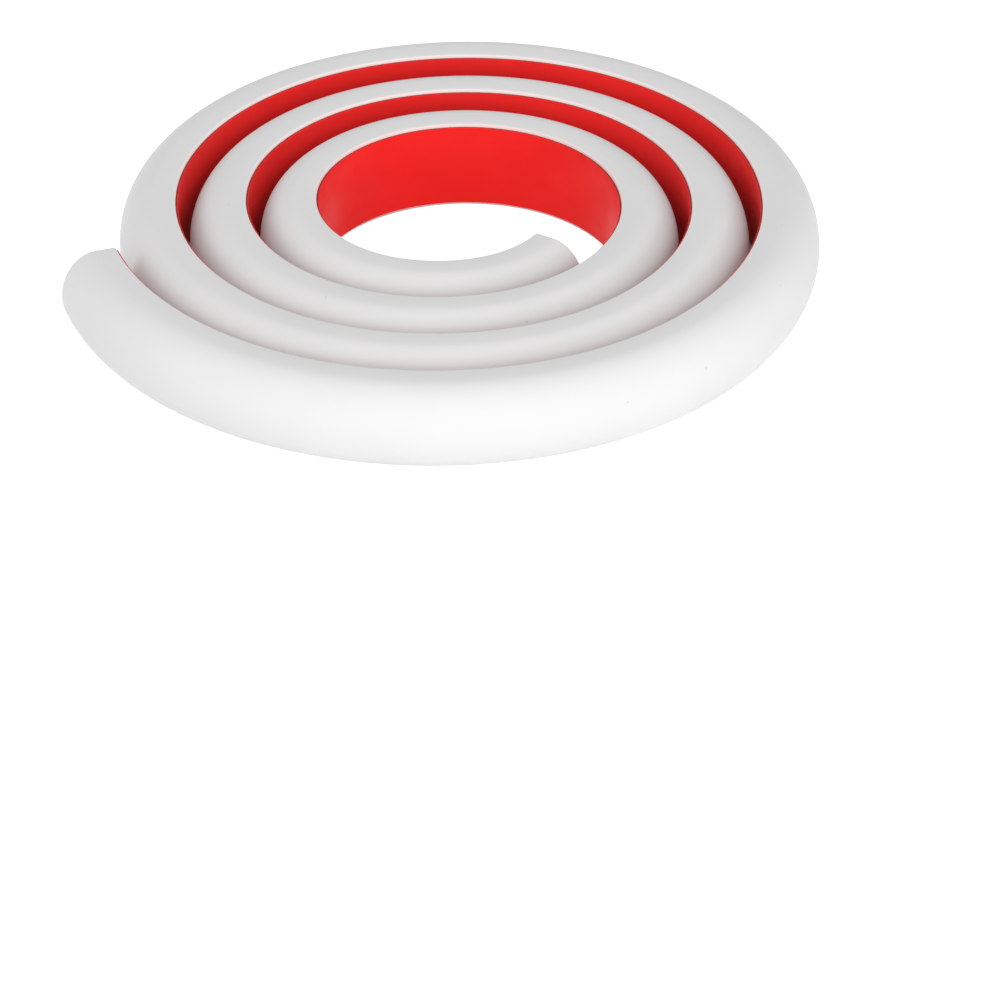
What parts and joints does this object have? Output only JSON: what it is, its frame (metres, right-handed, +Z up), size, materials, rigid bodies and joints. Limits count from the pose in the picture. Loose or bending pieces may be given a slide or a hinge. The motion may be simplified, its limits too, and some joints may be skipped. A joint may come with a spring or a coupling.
{
  "type": "cord cover raceway",
  "caption": "Loose flat coil of flexible D-section cord cover raceway with snap-shut latch, cable space and film-covered adhesive back.",
  "frame": {"origin": "middle of the coil's footprint, on the surface it rests on", "axes": "+Z up from the floor, across the width of the raceway; the outer end is cut square on the -X side and its mouth faces +Y"},
  "size_m": [0.2292, 0.2186, 0.028],
  "materials": {
    "channel_vinyl": "satin white flexible vinyl extrusion",
    "tape_foam": "thin dark red adhesive foam tape",
    "liner_film": "glossy red release film"
  },
  "bodies": {
    "root": {"channel": "channel_vinyl", "adhesive_tape": "tape_foam", "release_liner": "liner_film"}
  },
  "joints": []
}
